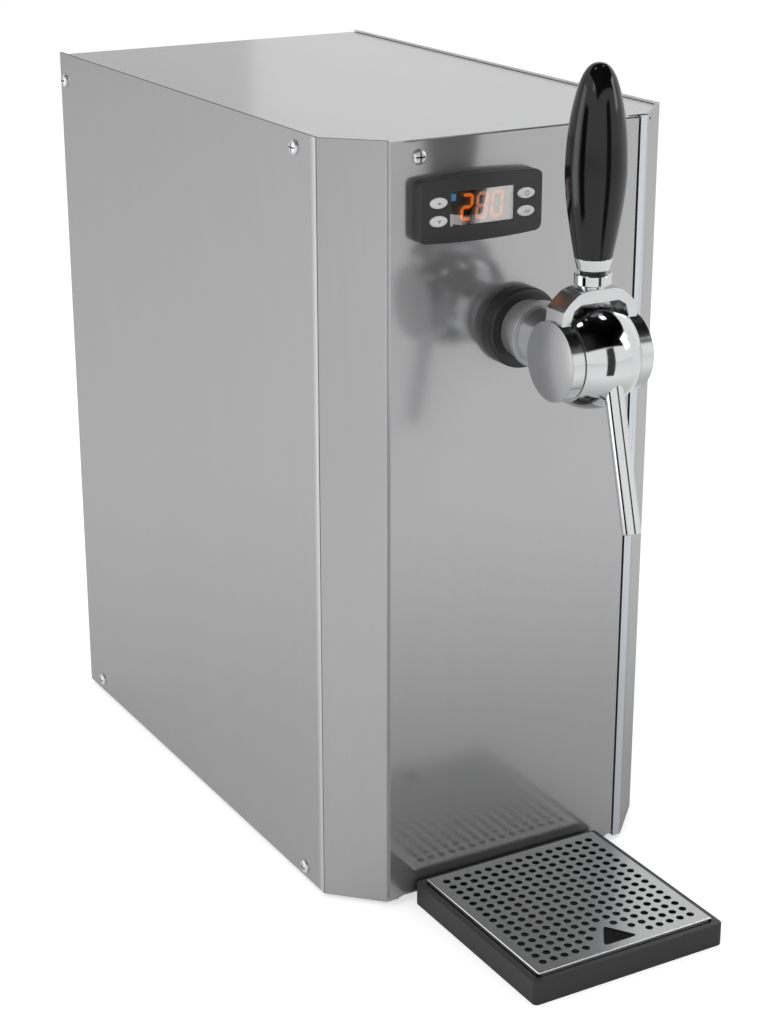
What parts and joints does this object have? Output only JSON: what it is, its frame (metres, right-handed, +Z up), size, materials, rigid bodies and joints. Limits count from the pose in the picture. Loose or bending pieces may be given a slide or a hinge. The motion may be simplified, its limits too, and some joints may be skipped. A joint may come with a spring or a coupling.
{
  "type": "mulled wine dispenser",
  "caption": "Countertop hot wine dispenser: upright sheet metal case with a temperature controller, a lever tap with a slanted spout and a slide-out drip tray with a lift-out grid",
  "frame": {"origin": "centre of the bottom of the whole object's box, on the surface it stands on", "axes": "+Z up, +Y from the tap to the back panel, +X to the right seen from the front"},
  "size_m": [0.2208, 0.5264, 0.4818],
  "materials": {
    "case_steel": "fine satin stainless sheet",
    "zinc_sheet": "zinc plated sheet",
    "screw_steel": "bright cross-head screws and plain steel",
    "foot_rubber": "matt black rubber",
    "controller_black": "satin black moulded plastic",
    "window_tint": "smoked display window",
    "display_white": "white plastic",
    "board_green": "green circuit board",
    "clip_orange": "orange plastic",
    "button_grey": "silver grey soft buttons",
    "rosette_black": "satin black plastic",
    "tap_chrome": "polished chrome",
    "brass": "plain brass",
    "handle_black": "polished black phenolic",
    "tray_black": "black plastic with a fine grain",
    "grid_steel": "satin stainless",
    "block_aluminium": "cast aluminium",
    "terminal_beige": "beige insulating plastic",
    "hose_clear": "milky silicone hose",
    "rocker_red": "red rocker",
    "wire_brown": "brown insulated wires",
    "wire_grey": "grey insulated wires"
  },
  "bodies": {
    "case": {"floor_pan": "zinc_sheet", "back_panel": "case_steel", "left_cover": "case_steel", "right_cover": "case_steel", "top_cover": "case_steel", "left_post": "case_steel", "right_post": "case_steel", "left_rear_rail": "zinc_sheet", "right_rear_rail": "zinc_sheet", "front_panel": "case_steel", "rubber_feet": "foot_rubber", "case_screws": "screw_steel", "controller_bezel": "controller_black", "controller_window": "window_tint", "display_module": "display_white", "control_board": "board_green", "controller_housing": "controller_black", "controller_clips": "clip_orange", "tap_rosette": "rosette_black", "tap_collar": "tap_chrome", "tap_body": "tap_chrome", "tap_shank": "brass", "shank_nut": "brass", "spout_tube": "tap_chrome", "shaft_seals": "foot_rubber", "heater_block": "block_aluminium", "heater_standoffs": "terminal_beige", "wine_tubes": "grid_steel", "heating_elements": "screw_steel", "overheat_cutout": "display_white", "temperature_probe": "grid_steel", "pump_head": "controller_black", "pump_motor": "zinc_sheet", "pump_bracket": "zinc_sheet", "electrical_plate": "zinc_sheet", "power_supply": "zinc_sheet", "heater_relay": "controller_black", "terminal_block": "terminal_beige", "suction_hose": "hose_clear", "pump_hose": "hose_clear", "tap_hose": "hose_clear", "hose_inlet": "brass", "cable_gland": "rosette_black", "switch_frame": "controller_black", "power_wires": "wire_brown", "control_wires": "wire_grey"},
    "lever": {"tap_yoke": "tap_chrome", "valve_shaft": "brass", "handle_stud": "screw_steel", "handle_nut": "tap_chrome", "handle_washer": "foot_rubber", "handle_ferrule": "tap_chrome", "tap_handle": "handle_black"},
    "up_key": {"up_button": "button_grey"},
    "down_key": {"down_button": "button_grey"},
    "set_key": {"set_button": "button_grey"},
    "power_key": {"power_button": "button_grey"},
    "rocker": {"switch_rocker": "rocker_red"},
    "tray": {"drip_tray": "tray_black"},
    "grid": {"drip_grid": "grid_steel"}
  },
  "joints": [
    {"name": "lever_tilt", "type": "hinge", "parent": "case", "child": "lever", "pos_m": [-0.0035, -0.20625, 0.3338], "axis": [1, 0, 0], "range_deg": [0, 65]},
    {"name": "up_press", "type": "slide", "parent": "case", "child": "up_key", "axis": [0, 1, 0], "range_m": [0, 0.0005], "stiffness_N_per_m": 1500},
    {"name": "down_press", "type": "slide", "parent": "case", "child": "down_key", "axis": [0, 1, 0], "range_m": [0, 0.0005], "stiffness_N_per_m": 1500},
    {"name": "set_press", "type": "slide", "parent": "case", "child": "set_key", "axis": [0, 1, 0], "range_m": [0, 0.0005], "stiffness_N_per_m": 1500},
    {"name": "power_press", "type": "slide", "parent": "case", "child": "power_key", "axis": [0, 1, 0], "range_m": [0, 0.0005], "stiffness_N_per_m": 1500},
    {"name": "rocker_tilt", "type": "hinge", "parent": "case", "child": "rocker", "pos_m": [-0.06, 0.23315, 0.1075], "axis": [1, 0, 0], "range_deg": [0, 14]},
    {"name": "tray_slide", "type": "slide", "parent": "case", "child": "tray", "axis": [0, -1, 0], "range_m": [0, 0.13]},
    {"name": "grid_lift", "type": "slide", "parent": "tray", "child": "grid", "axis": [0, 0, 1], "range_m": [0, 0.05]}
  ]
}
